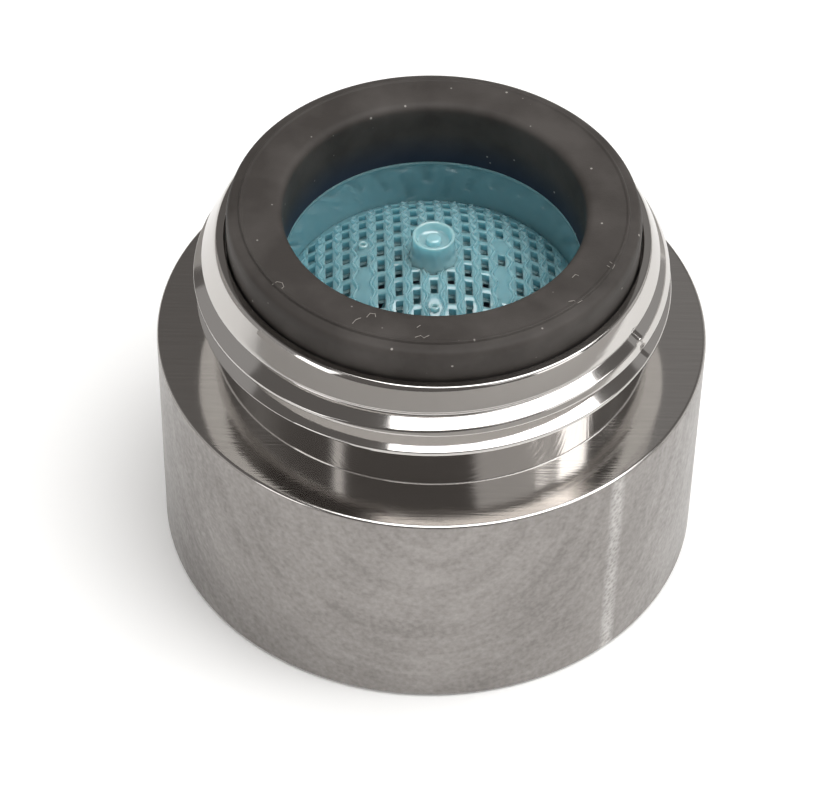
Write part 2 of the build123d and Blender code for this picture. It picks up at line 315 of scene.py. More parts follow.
# %% [markdown]
# The sleeve is brass, turned on a lathe, polished and plated with nickel and bright chrome.
# The spigot is a mirror with a faint waviness left by the polishing. The shoulder is as
# bright, but the fine straight lines of wiping and handling cross it. Chrome reflects a little
# over half of the light, slightly less of the blue.

# %% Polished and wiped chrome
CHROME = "#c0bdba"
WIPED_DARK, WIPED_LIGHT = "#b3b0ad", "#c9c6c3"
POLISH_WAVE = 1.4
WIPE_LENGTH, WIPE_WIDTH = 3.0, 0.11
WIPE_TURN = radians(4)
POLISHED_ROUGHNESS, WIPED_ROUGHNESS = 0.08, 0.11


def polished_chrome():
    """Bright chrome on polished brass: a mirror with the faint waves of the buffing wheel."""
    material, tree, output = new_material("bright_chrome_plate_polished")
    place = add(tree, "ShaderNodeTexCoord", {}, {})
    waves = add(tree, "ShaderNodeTexNoise", {}, {
        "Vector": place.outputs["Object"], "Scale": 1 / (POLISH_WAVE * MM), "Detail": 2.0,
    })
    bump = add(tree, "ShaderNodeBump", {}, {
        "Height": waves.outputs["Fac"], "Strength": 0.12, "Distance": 0.05 * MM,
    })
    shader = add(tree, "ShaderNodeBsdfPrincipled", {}, {
        "Base Color": linear(CHROME), "Metallic": 1.0, "Roughness": POLISHED_ROUGHNESS,
        "Normal": bump.outputs["Normal"],
    })
    tree.links.new(shader.outputs["BSDF"], output.inputs["Surface"])
    return material


def wiped_chrome():
    """The shoulder: polished, then crossed by the fine straight lines of wiping and handling."""
    material, tree, output = new_material("bright_chrome_plate_wiped")
    place = add(tree, "ShaderNodeTexCoord", {}, {})
    along = add(tree, "ShaderNodeMapping", {}, {
        "Vector": place.outputs["Object"], "Rotation": (0.0, 0.0, WIPE_TURN),
        "Scale": (1 / (WIPE_LENGTH * MM), 1 / (WIPE_WIDTH * MM), 1.0),
    })
    lines = add(tree, "ShaderNodeTexNoise", {}, {
        "Vector": along.outputs["Vector"], "Scale": 1.0, "Detail": 3.0,
    })
    colour = add(tree, "ShaderNodeMix", {"data_type": "RGBA"}, {
        "Factor": lines.outputs["Fac"], "A": linear(WIPED_DARK), "B": linear(WIPED_LIGHT),
    })
    bump = add(tree, "ShaderNodeBump", {}, {
        "Height": lines.outputs["Fac"], "Strength": 0.3, "Distance": 0.012 * MM,
    })
    shader = add(tree, "ShaderNodeBsdfPrincipled", {}, {
        "Base Color": colour.outputs["Result"], "Metallic": 1.0, "Roughness": WIPED_ROUGHNESS,
        "Normal": bump.outputs["Normal"],
    })
    tree.links.new(shader.outputs["BSDF"], output.inputs["Surface"])
    return material


# %% [markdown]
# The skirt was only brushed before plating, so its chrome is satin. It is finely mottled and
# softly clouded, with faint arcs where the brush swung past, drawn as a noise that changes fast
# across the arcs and slowly along them. A scuff runs down the front right: its flecks are small
# dents at odd tilts, so some of them catch the windows, and their colour is also raised towards
# white as a painted glint. Clouds, arcs and mottling add up to one tone, which sets both the
# colour and the roughness.

# %% Satin chrome
SATIN_DARK, SATIN_LIGHT = "#7f7b78", "#9b9794"
BRUSH_CENTRE = (0.0, -10.5, 10.0)
ARC_LENGTH, ARC_WIDTH = 6.0, 0.5
CLOUD = 3.2
MOTTLE = 0.2
SCUFF_AT = (6.95, -7.87)
SCUFF_IN, SCUFF_OUT = 0.12, 0.42
# Near-white colour for the painted glint on the scuff's flecks.
SCUFF_PAINTED_GLINT = "#f4f2f0"
FLECK = 0.17
MOTTLE_SHARE = 1.3
TONE_LOW, TONE_HIGH = 1.2, 2.1
SATIN_ROUGHEST, SATIN_SMOOTHEST = 0.4, 0.3


def satin_chrome():
    """Chrome on brushed brass: fine mottling, faint arcs and one scuff of dents whose flecks
    have a painted glint.
    """
    material, tree, output = new_material("chrome_plate_on_brushed_brass")
    place = add(tree, "ShaderNodeTexCoord", {}, {})
    away = add(tree, "ShaderNodeVectorMath", {"operation": "DISTANCE"}, {
        0: place.outputs["Object"], 1: [value * MM for value in BRUSH_CENTRE],
    })
    across = add(tree, "ShaderNodeMath", {"operation": "MULTIPLY"}, {
        0: away.outputs["Value"], 1: ARC_LENGTH / ARC_WIDTH,
    })
    arcs = add(tree, "ShaderNodeTexNoise", {"noise_dimensions": "4D"}, {
        "Vector": place.outputs["Object"], "W": across.outputs["Value"],
        "Scale": 1 / (ARC_LENGTH * MM), "Detail": 3.0, "Distortion": 0.5,
    })
    clouds = add(tree, "ShaderNodeTexNoise", {}, {
        "Vector": place.outputs["Object"], "Scale": 1 / (CLOUD * MM), "Detail": 3.0,
    })
    mottle = add(tree, "ShaderNodeTexNoise", {}, {
        "Vector": place.outputs["Object"], "Scale": 1 / (MOTTLE * MM), "Detail": 3.0,
    })
    first = add(tree, "ShaderNodeMath", {"operation": "MULTIPLY_ADD"}, {
        0: arcs.outputs["Fac"], 1: 1.0, 2: clouds.outputs["Fac"],
    })
    second = add(tree, "ShaderNodeMath", {"operation": "MULTIPLY_ADD"}, {
        0: mottle.outputs["Fac"], 1: MOTTLE_SHARE, 2: first.outputs["Value"],
    })
    tone = add(tree, "ShaderNodeMapRange", {}, {
        "Value": second.outputs["Value"], "From Min": TONE_LOW, "From Max": TONE_HIGH,
        "To Min": 0.0, "To Max": 1.0,
    })
    colour = add(tree, "ShaderNodeMix", {"data_type": "RGBA"}, {
        "Factor": tone.outputs["Result"], "A": linear(SATIN_DARK), "B": linear(SATIN_LIGHT),
    })
    rough = add(tree, "ShaderNodeMapRange", {}, {
        "Value": second.outputs["Value"], "From Min": TONE_LOW, "From Max": TONE_HIGH,
        "To Min": SATIN_ROUGHEST, "To Max": SATIN_SMOOTHEST,
    })
    upright = add(tree, "ShaderNodeVectorMath", {"operation": "MULTIPLY"}, {
        0: place.outputs["Object"], 1: (1.0, 1.0, 0.0),
    })
    beside = add(tree, "ShaderNodeVectorMath", {"operation": "DISTANCE"}, {
        0: upright.outputs["Vector"], 1: (SCUFF_AT[0] * MM, SCUFF_AT[1] * MM, 0.0),
    })
    scuff = add(tree, "ShaderNodeMapRange", {}, {
        "Value": beside.outputs["Value"], "From Min": SCUFF_OUT * MM, "From Max": SCUFF_IN * MM,
        "To Min": 0.0, "To Max": 1.0,
    })
    flecks = add(tree, "ShaderNodeTexVoronoi", {}, {
        "Vector": place.outputs["Object"], "Scale": 1 / (FLECK * MM), "Randomness": 1.0,
    })
    patchy = add(tree, "ShaderNodeMath", {"operation": "MULTIPLY"}, {
        0: scuff.outputs["Result"], 1: clouds.outputs["Fac"],
    })
    dents = add(tree, "ShaderNodeMath", {"operation": "MULTIPLY"}, {
        0: flecks.outputs["Distance"], 1: patchy.outputs["Value"],
    })
    grain = add(tree, "ShaderNodeBump", {}, {
        "Height": mottle.outputs["Fac"], "Strength": 0.35, "Distance": 0.02 * MM,
    })
    bump = add(tree, "ShaderNodeBump", {}, {
        "Height": dents.outputs["Value"], "Strength": 0.9, "Distance": 0.07 * MM,
        "Normal": grain.outputs["Normal"],
    })
    # Painted highlight: the scuff's flecks are blended towards near-white.
    painted_glint = add(tree, "ShaderNodeMath", {"operation": "MULTIPLY"}, {
        0: dents.outputs["Value"], 1: 0.8,
    })
    with_painted_glint = add(tree, "ShaderNodeMix", {"data_type": "RGBA"}, {
        "Factor": painted_glint.outputs["Value"], "A": colour.outputs["Result"],
        "B": linear(SCUFF_PAINTED_GLINT),
    })
    shader = add(tree, "ShaderNodeBsdfPrincipled", {}, {
        "Base Color": with_painted_glint.outputs["Result"], "Metallic": 1.0,
        "Roughness": rough.outputs["Result"], "Normal": bump.outputs["Normal"],
    })
    tree.links.new(shader.outputs["BSDF"], output.inputs["Surface"])
    return material


polished = polished_chrome()
satin = satin_chrome()
wiped = wiped_chrome()

# %% [markdown]
# The sleeve's outline goes up the skirt, across the shoulder, up the undercut neck and the
# threaded spigot, and down the bore. The thread is M18 x 1: its groove climbs 1 mm in each
# turn, with flats at crest and root and flanks at 60 degrees. The section keeps the same
# corners at every angle, slid along the axis, and the chamfered lead and the run-out trim
# them. The crests are round, because plating builds up on sharp edges. Two small nicks at the
# right are knocks from handling: each pushes the crests in over a short way round.

# %% Sleeve with its thread
SLEEVE_SIDES = 480
SKIRT_R = 10.5
SKIRT_H = 9.6
NECK_R = 8.33
NECK_TOP = SKIRT_H + 1.75
TIP_R = 8.14
TIP_Z = SKIRT_H + 4.8
RIM_EDGE = 0.1
LEAD_TAPER = 0.54
THREAD_R = 9.0
PITCH = 1.0
THREAD_DEPTH = 0.6134 * PITCH
ROOT_R = THREAD_R - THREAD_DEPTH
ROOT_HALF = PITCH / 12
FLANK_END = PITCH * 7 / 16
GROOVE_Z = SKIRT_H + 1.005
RUNOUT_Z = NECK_TOP + (THREAD_R - NECK_R) * 0.6
LEAD_Z = TIP_Z - (THREAD_R - TIP_R) / LEAD_TAPER
RECESS_R = 7.8
LEDGE_Z = 11.7
COLLAR_R = 7.2
COLLAR_Z = 10.1
MOUTH_R = 8.3
MOUTH_CHAMFER = 0.35
CREST_ROUND = 0.05
CREST_MARGIN = 0.3
BRIGHT, BRUSHED, WIPED = 0, 1, 2
# Each nick: part of a turn, height, half its height, depth. Its sides rise steeply.
NICKS = ((0.9165, 13.35, 0.4, 0.07), (0.9235, 12.45, 0.35, 0.07))
NICK_HALF = 0.0034
NICK_STEEP = 1.6


def blank_r(z):
    """Radius of the spigot's blank before the thread is cut."""
    if z < RUNOUT_Z:
        return NECK_R + max(0.0, z - NECK_TOP) * (THREAD_R - NECK_R) / (RUNOUT_Z - NECK_TOP)
    return THREAD_R - max(0.0, z - LEAD_Z) * LEAD_TAPER


def flank_top(root_z, crest_z):
    """Height at which a flank that climbs from the root leaves the blank's surface."""
    low, high = 0.0, 1.0
    for step in range(22):
        middle = (low + high) / 2
        z = root_z + middle * (crest_z - root_z)
        if ROOT_R + middle * (THREAD_R - ROOT_R) <= blank_r(z):
            low = middle
        else:
            high = middle
    return root_z + low * (crest_z - root_z), ROOT_R + low * (THREAD_R - ROOT_R)


def thread_corners(turn):
    """Corners of the thread's section at this part of a turn, kept between neck and rim."""
    corners = []
    for count in range(-1, 5):
        groove = GROOVE_Z + PITCH * (turn + count)
        following = groove + PITCH
        rise_z, rise_r = flank_top(groove + ROOT_HALF, groove + FLANK_END)
        fall_z, fall_r = flank_top(following - ROOT_HALF, following - FLANK_END)
        bend = RUNOUT_Z if rise_z < (RUNOUT_Z + LEAD_Z) / 2 else LEAD_Z
        crest = fall_z - rise_z
        bend = min(max(bend, rise_z + CREST_MARGIN * crest), fall_z - CREST_MARGIN * crest)
        corners += [
            (min(ROOT_R, blank_r(groove - ROOT_HALF)), groove - ROOT_HALF),
            (min(ROOT_R, blank_r(groove + ROOT_HALF)), groove + ROOT_HALF),
            (min(rise_r, blank_r(rise_z)), rise_z),
            (blank_r(bend), bend),
            (min(fall_r, blank_r(fall_z)), fall_z),
        ]
    top = TIP_Z - RIM_EDGE
    kept = []
    for r, z in corners:
        if z <= NECK_TOP:
            r, z = NECK_R, NECK_TOP
        if z >= top:
            r, z = blank_r(top), top
        for at, middle, reach, depth in NICKS:
            near = 1 - abs(turn - at) / NICK_HALF
            if near > 0 and abs(z - middle) < reach:
                r -= depth * min(1.0, NICK_STEEP * near)
        kept.append((r, z, CREST_ROUND, BRIGHT))
    return kept


def sleeve_outline(turn):
    """Half section of the sleeve: skirt and shoulder, then the thread, then rim and bore."""
    below = [
        (SKIRT_R - 0.14, 0.0, 0.05, BRUSHED),
        (SKIRT_R, 0.14, 0.08, BRUSHED),
        (SKIRT_R, SKIRT_H - 0.09, 0.06, BRUSHED),
        (SKIRT_R - 0.03, SKIRT_H - 0.03, 0.03, BRIGHT),
        (SKIRT_R - 0.1, SKIRT_H, 0.05, WIPED),
        (NECK_R, SKIRT_H, 0.05, BRIGHT),
    ]
    above = [
        (blank_r(TIP_Z - RIM_EDGE) - RIM_EDGE, TIP_Z, 0.04, BRIGHT),
        (RECESS_R, TIP_Z, 0.05, BRIGHT),
        (RECESS_R, LEDGE_Z, 0.0, BRIGHT),
        (COLLAR_R, LEDGE_Z, 0.04, BRIGHT),
        (COLLAR_R, COLLAR_Z, 0.04, BRIGHT),
        (MOUTH_R, COLLAR_Z - (MOUTH_R - COLLAR_R), 0.05, BRIGHT),
        (MOUTH_R, MOUTH_CHAMFER, 0.05, BRIGHT),
        (MOUTH_R + MOUTH_CHAMFER, 0.0, 0.05, BRUSHED),
    ]
    return below + thread_corners(turn) + above


sleeve = finished("sleeve", *turned(sleeve_outline, SLEEVE_SIDES), [polished, satin, wiped])
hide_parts("housing")

# %% [markdown]
# The washer is moulded nitrile rubber: soft, matt and almost black, with a warm tint. A fine
# bead stands round its crown where the mould's halves met. Low in the hole the rubber is given
# a painted blue, blended in by height: a painted reflection of the teal strainer beside it.
# Rubber charges up and holds dust, so its skin has scattered pale specks.

# %% Washer
WASHER_SIDES = 256
WASHER_HOLE_R = 5.62
WASHER_R = 7.72
SEAT_Z = 12.9
WASHER_TOP = 15.79
RUBBER = "#393532"
RUBBER_WORN = "#4b4744"
# Colour of the painted reflection of the teal strainer, low in the washer's hole.
PAINTED_BLUE_REFLECTION = "#1b2a40"
DUST = "#b9b4ae"
SPECK = 0.7
RUBBER_GRAIN = 0.09
RUBBED_PATCH = 2.4
REFLECTION_FROM, REFLECTION_TO = SEAT_Z + 1.5, SEAT_Z + 0.2
CROWN_DROP = 0.045


def moulded_rubber():
    """Moulded nitrile: matt, with a fine grain, slight rubbed patches and specks of dust, and a
    painted blue reflection low in the hole.
    """
    material, tree, output = new_material("nitrile_rubber_moulded")
    place = add(tree, "ShaderNodeTexCoord", {}, {})
    patches = add(tree, "ShaderNodeTexNoise", {}, {
        "Vector": place.outputs["Object"], "Scale": 1 / (RUBBED_PATCH * MM), "Detail": 4.0,
    })
    rubbed = add(tree, "ShaderNodeMapRange", {}, {
        "Value": patches.outputs["Fac"], "From Min": 0.4, "From Max": 0.7,
        "To Min": 0.0, "To Max": 1.0,
    })
    skin = add(tree, "ShaderNodeMix", {"data_type": "RGBA"}, {
        "Factor": rubbed.outputs["Result"], "A": linear(RUBBER), "B": linear(RUBBER_WORN),
    })
    specks = add(tree, "ShaderNodeTexVoronoi", {}, {
        "Vector": place.outputs["Object"], "Scale": 1 / (SPECK * MM), "Randomness": 1.0,
    })
    dots = add(tree, "ShaderNodeMapRange", {}, {
        "Value": specks.outputs["Distance"], "From Min": 0.08, "From Max": 0.04,
        "To Min": 0.0, "To Max": 0.7,
    })
    # Painted reflection: lower in the hole the colour is blended towards blue, for the strainer's
    # light.
    height = add(tree, "ShaderNodeSeparateXYZ", {}, {"Vector": place.outputs["Object"]})
    low = add(tree, "ShaderNodeMapRange", {}, {
        "Value": height.outputs["Z"], "From Min": REFLECTION_FROM * MM, "From Max": REFLECTION_TO * MM,
        "To Min": 0.0, "To Max": 0.75,
    })
    with_painted_reflection = add(tree, "ShaderNodeMix", {"data_type": "RGBA"}, {
        "Factor": low.outputs["Result"], "A": skin.outputs["Result"], "B": linear(PAINTED_BLUE_REFLECTION),
    })
    dusty = add(tree, "ShaderNodeMix", {"data_type": "RGBA"}, {
        "Factor": dots.outputs["Result"], "A": with_painted_reflection.outputs["Result"], "B": linear(DUST),
    })
    grain = add(tree, "ShaderNodeTexNoise", {}, {
        "Vector": place.outputs["Object"], "Scale": 1 / (RUBBER_GRAIN * MM), "Detail": 3.0,
    })
    bump = add(tree, "ShaderNodeBump", {}, {
        "Height": grain.outputs["Fac"], "Strength": 0.25, "Distance": 0.02 * MM,
    })
    shader = add(tree, "ShaderNodeBsdfPrincipled", {}, {
        "Base Color": dusty.outputs["Result"], "Roughness": 0.62, "IOR": 1.5,
        "Specular IOR Level": 0.28, "Normal": bump.outputs["Normal"],
    })
    tree.links.new(shader.outputs["BSDF"], output.inputs["Surface"])
    return material


def one_finish(outline):
    """An outline's corners (r, z, radius), all with the first material."""
    return [(r, z, radius, 0) for r, z, radius in outline]


def washer_outline(turn):
    """Half section of the washer, with its bead and its rounded edges."""
    return one_finish([
        (WASHER_HOLE_R, SEAT_Z, 0.04),
        (WASHER_R - 0.12, SEAT_Z, 0.04),
        (WASHER_R, SEAT_Z + 0.12, 0.05),
        (WASHER_R, WASHER_TOP - 0.42, 0.15),
        (WASHER_R - 0.09, WASHER_TOP - 0.19, 0.1),
        (WASHER_R - 0.27, WASHER_TOP - 0.13, 0.12),
        (WASHER_R - 0.46, WASHER_TOP - 0.1, 0.02),
        (WASHER_R - 0.5, WASHER_TOP, 0.02),
        (WASHER_R - 0.56, WASHER_TOP, 0.02),
        (WASHER_R - 0.61, WASHER_TOP - CROWN_DROP, 0.04),
        (WASHER_HOLE_R + 0.6, WASHER_TOP - CROWN_DROP, 0.3),
        (WASHER_HOLE_R + 0.2, WASHER_TOP - 0.07, 0.15),
        (WASHER_HOLE_R + 0.02, WASHER_TOP - 0.22, 0.12),
        (WASHER_HOLE_R, WASHER_TOP - 0.5, 0.1),
    ])


rubber = moulded_rubber()
washer = finished("rubber_washer", *turned(washer_outline, WASHER_SIDES), [rubber])
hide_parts("sealing_washer")

# %% [markdown]
# Bits of lint cling to the rubber. Each is a hair-thin tube along a short bent path, laid on
# the washer's flat top, a little thicker than real lint so that it shows.

# %% Lint
LINT_R = 0.014
LINT_SIDES = 5
LINT_Z = WASHER_TOP - CROWN_DROP + LINT_R
LINT_DARK, LINT_LIGHT = "#77726c", "#b9b4ad"
LINT_DUST = 0.2
LINT_PATHS = (
    ((-5.80, -4.40), (-5.64, -4.24), (-5.44, -4.30), (-5.38, -4.50), (-5.50, -4.66)),
    ((-2.86, -6.32), (-2.74, -6.12), (-2.56, -6.02)),
    ((-2.36, -5.98), (-2.24, -5.78), (-2.06, -5.80), (-2.04, -5.96)),
    ((-0.62, -6.96), (-0.42, -6.86), (-0.30, -6.98), (-0.12, -6.84)),
    ((-0.56, -6.46), (-0.44, -6.34)),
    ((5.02, -3.72), (5.14, -3.56), (5.26, -3.62)),
    ((6.30, -3.06), (6.50, -3.22), (6.58, -3.02), (6.40, -2.86)),
    ((4.86, -4.98), (5.06, -4.92), (5.20, -5.04), (5.36, -4.90)),
)


def fibre(path):
    """Points and faces of a thin closed tube along a path on the washer's top."""
    verts, faces = [], []
    for i, (x, y) in enumerate(path):
        before, after = path[max(0, i - 1)], path[min(len(path) - 1, i + 1)]
        along = Vector((after[0] - before[0], after[1] - before[1], 0)).normalized()
        side = Vector((-along.y, along.x, 0))
        for k in range(LINT_SIDES):
            angle = 2 * pi * k / LINT_SIDES
            outward = cos(angle) * side + sin(angle) * Vector((0, 0, 1))
            verts.append(Vector((x, y, LINT_Z)) + LINT_R * outward)
        if i:
            for k in range(LINT_SIDES):
                here, there = i * LINT_SIDES + k, i * LINT_SIDES + (k + 1) % LINT_SIDES
                faces.append((here - LINT_SIDES, here, there, there - LINT_SIDES))
    faces.append(tuple(range(LINT_SIDES)))
    faces.append(tuple(range(len(verts) - 1, len(verts) - 1 - LINT_SIDES, -1)))
    return verts, faces


def cotton_lint():
    """Cotton lint: thin, pale and matt, greyer where it is dusty."""
    material, tree, output = new_material("cotton_lint")
    place = add(tree, "ShaderNodeTexCoord", {}, {})
    dust = add(tree, "ShaderNodeTexNoise", {}, {
        "Vector": place.outputs["Object"], "Scale": 1 / (LINT_DUST * MM), "Detail": 1.0,
    })
    colour = add(tree, "ShaderNodeMix", {"data_type": "RGBA"}, {
        "Factor": dust.outputs["Fac"], "A": linear(LINT_DARK), "B": linear(LINT_LIGHT),
    })
    shader = add(tree, "ShaderNodeBsdfPrincipled", {}, {
        "Base Color": colour.outputs["Result"], "Roughness": 0.8,
    })
    tree.links.new(shader.outputs["BSDF"], output.inputs["Surface"])
    return material


verts, faces = [], []
for path in LINT_PATHS:
    more_verts, more_faces = fibre(path)
    faces += [[index + len(verts) for index in face] for face in more_faces]
    verts += more_verts
lint = finished("lint", verts, faces, [0] * len(faces), [cotton_lint()])

# %% [markdown]
# The strainer is acetal, injection moulded and tinted teal, so light soaks in and shines on
# its skin. The well's wall was moulded on a polished core, so it is glossier. Rows of
# rectangular holes pierce the dome, each column half a step past the last, and a rounded rib
# winds between the columns, bowed away from each hole. A little way down, each hole narrows
# to a ledge, mostly at its two ends.

# %% Strainer sizes and plastic
WELL_R = 5.66
FLANGE_R = 7.74
STRAINER_FOOT_Z = 9.6
STRAINER_R = 6.38
DOME_TOP = 12.975
DOME_R = 8.6
DOME_T = 0.38
# The mesh: steps between holes, a hole's size, its turn, and places (column, row) left whole.
PITCH_X = 0.6525
PITCH_Y = 0.8625
HOLE_X = 0.27
HOLE_Y = 0.62
MESH_EDGE = 0.4
MESH_TURN = radians(2.3)
MESH_CROWN = 0.4
BLANKS = ((4, 1.5), (4, -0.5), (4, -1.5), (0, -2.5))
# A hole's ledge, the rib with a gutter on each side, and the grid that carries them.
LEDGE_DEPTH = 0.32
LEDGE_IN = 0.14
LEDGE_BESIDE = 0.02
RIB_H = 0.085
RIB_W = 0.034
RIB_BOW = 0.075
GUTTER = 0.03
RIB_LINES = (0.017, 0.034, 0.052, 0.075, 0.11)
RIB_END, RIB_FADE = 0.15, 0.3
LIP = 0.03
RIM_INSET = 0.02
GRID_STEP_X, GRID_STEP_Y = 0.11, 0.06
MOULDED, MIRRORED = 0, 1
TEAL = "#85b1b9"
TEAL_DEEP = "#78a6af"
TEAL_FLOW = 1.2
SOAK = 1.4
HIGH_GLOSS = 2.1


def teal_acetal(name, dark, light, depth, gloss=1.6):
    """Tinted acetal, moulded: light soaks in to a depth in mm, under a glossy skin."""
    material, tree, output = new_material(name)
    place = add(tree, "ShaderNodeTexCoord", {}, {})
    flow = add(tree, "ShaderNodeTexNoise", {}, {
        "Vector": place.outputs["Object"], "Scale": 1 / (TEAL_FLOW * MM), "Detail": 2.0,
    })
    colour = add(tree, "ShaderNodeMix", {"data_type": "RGBA"}, {
        "Factor": flow.outputs["Fac"], "A": linear(dark), "B": linear(light),
    })
    bump = add(tree, "ShaderNodeBump", {}, {
        "Height": flow.outputs["Fac"], "Strength": 0.04, "Distance": 0.05 * MM,
    })
    shader = add(tree, "ShaderNodeBsdfPrincipled", {}, {
        "Base Color": colour.outputs["Result"], "Roughness": 0.09, "IOR": 1.55,
        "Subsurface Weight": 1.0, "Subsurface Radius": (0.45, 0.6, 0.65),
        "Subsurface Scale": depth * MM, "Coat Weight": 0.6, "Coat Roughness": 0.04,
        "Coat IOR": gloss, "Normal": bump.outputs["Normal"],
        "Coat Normal": bump.outputs["Normal"],
    })
    tree.links.new(shader.outputs["BSDF"], output.inputs["Surface"])
    return material


# %% [markdown]
# The dome is built on a grid whose lines fall on the holes' edges, so holes are left out of it
# cell by cell, and the rib is a rise in the grid. Lines close to the rib bend with it. The
# outer cells end on the well's circle. Four levels of points make each hole's side: the outer
# skin, the outside and the inside of the ledge, and the inner skin.

# %% Pierced dome
def dome_z(radius, x, y):
    """Height of a sphere round the dome's centre above a place in the plane."""
    return DOME_TOP - DOME_R + sqrt(max(0.0, radius**2 - x * x - y * y))


def mesh_turned(u, v):
    """A place on the mesh's own grid, turned a little about the axis as the mesh is."""
    return (
        u * cos(MESH_TURN) - v * sin(MESH_TURN),
        u * sin(MESH_TURN) + v * cos(MESH_TURN),
    )


def rib_at(u, v):
    """Rise of the winding rib and its gutters on a grid line, and how far it bows sideways."""
    gap = round(u / PITCH_X - 0.5)
    first_row = 0.0 if gap % 2 else 0.5
    off = u - (gap + 0.5) * PITCH_X
    web = 1 - (2 * off / (PITCH_X - HOLE_X)) ** 2
    bow = RIB_BOW * cos(2 * pi * (v / PITCH_Y - first_row)) * max(0.0, web)
    gutter = GUTTER * exp(-(((abs(off) - 2.1 * RIB_W) / (0.7 * RIB_W)) ** 2))
    return RIB_H * exp(-((off / RIB_W) ** 2)) - gutter, bow


def line_places(pitch, edges, reach, step):
    """Grid lines on all the edges in each pitch, with steps between them no wider than step."""
    count = int(reach / pitch) + 2
    marks = sorted(n * pitch + edge for n in range(-count, count + 1) for edge in edges)
    lines = []
    for low, high in zip(marks, marks[1:]):
        steps = max(1, round((high - low) / step))
        lines += [low + (high - low) * k / steps for k in range(steps)]
    return [place for place in lines if abs(place) < reach + 2 * step]


def hole_at(u, v):
    """True if a place on the dome lies in a hole, and the hole isn't one left blank."""
    column = round(u / PITCH_X)
    shift = 0.0 if column % 2 else 0.5
    row = round(v / PITCH_Y - shift) + shift
    x, y = column * PITCH_X, row * PITCH_Y
    inside = abs(u - x) < HOLE_X / 2 and abs(v - y) < HOLE_Y / 2
    kept = MESH_CROWN < hypot(x, y) < WELL_R - MESH_EDGE and (abs(column), row) not in BLANKS
    return inside and kept


def pierced_dome():
    """Points and faces of the pierced dome, the index of its points and its rim's edges."""
    half_x, half_y = HOLE_X / 2, HOLE_Y / 2
    beside = [side * off for side in (-1, 1) for off in RIB_LINES] + [0.0]
    edges_x = [-half_x, half_x] + [PITCH_X / 2 + off for off in beside]
    edges_y = (-half_y, half_y, half_y - PITCH_Y / 2, PITCH_Y / 2 - half_y)
    lines_x = line_places(PITCH_X, edges_x, WELL_R, GRID_STEP_X)
    lines_y = line_places(PITCH_Y, edges_y, WELL_R, GRID_STEP_Y)
    columns, rows = len(lines_x) - 1, len(lines_y) - 1
    inside = [[hypot(u, v) < WELL_R - RIM_INSET for v in lines_y] for u in lines_x]
    solid = [[False] * rows for _ in range(columns)]
    for i in range(columns):
        for j in range(rows):
            corners_in = any(inside[a][b] for a in (i, i + 1) for b in (j, j + 1))
            u, v = (lines_x[i] + lines_x[i + 1]) / 2, (lines_y[j] + lines_y[j + 1]) / 2
            solid[i][j] = corners_in and not hole_at(u, v)
    verts, faces, index = [], [], {}

    def corner(i, j, level):
        """Index of a grid point, made when first used: 0 on the outer skin, 1 and 2 at the
        outside and inside of a hole's ledge, 3 on the inner skin."""
        if (i, j, level) in index:
            return index[(i, j, level)]
        u, v = lines_x[i], lines_y[j]
        distance = hypot(u, v)
        if not inside[i][j]:
            u, v = u * WELL_R / distance, v * WELL_R / distance
        around = [(a, b) for a in (i - 1, i) for b in (j - 1, j)]
        around = [(a, b) for a, b in around if 0 <= a < columns and 0 <= b < rows]
        empty = [(a, b) for a, b in around if inside[i][j] and not solid[a][b]]
        z = dome_z(DOME_R - DOME_T if level == 3 else DOME_R, u, v)
        if level == 0:
            fade = min(1.0, max(0.0, (WELL_R - RIB_END - distance) / RIB_FADE))
            rise, bow = rib_at(u, v)
            z += rise * fade - (LIP if empty else 0.0)
            u += bow * fade
        elif level < 3:
            z -= LEDGE_DEPTH
        if level > 1 and empty:
            u += LEDGE_BESIDE * sum(1 if a == i else -1 for a, b in empty) / len(empty)
            v += LEDGE_IN * sum(1 if b == j else -1 for a, b in empty) / len(empty)
        verts.append((*mesh_turned(u, v), z))
        index[(i, j, level)] = len(verts) - 1
        return len(verts) - 1

    rim = {}
    for i in range(columns):
        for j in range(rows):
            if not solid[i][j]:
                continue
            ring = [(i, j), (i + 1, j), (i + 1, j + 1), (i, j + 1)]
            faces.append([corner(a, b, 0) for a, b in ring])
            faces.append([corner(a, b, 3) for a, b in reversed(ring)])
            beyond = [(i, j - 1), (i + 1, j), (i, j + 1), (i - 1, j)]
            for side, (a, b) in enumerate(beyond):
                if 0 <= a < columns and 0 <= b < rows and solid[a][b]:
                    continue
                start, end = ring[side], ring[(side + 1) % 4]
                if inside[start[0]][start[1]] or inside[end[0]][end[1]]:
                    for level in range(3):
                        upper = [corner(*end, level), corner(*start, level)]
                        faces.append(upper + [corner(*start, level + 1), corner(*end, level + 1)])
                else:
                    rim[start] = end
    return verts, faces, index, rim


# %% [markdown]
# The well's wall, the flange and the skirt grow from the dome's rim. The rim's points are put
# in order round the circle, and each corner of the outline adds a ring to them. The last ring
# joins the inner skin.

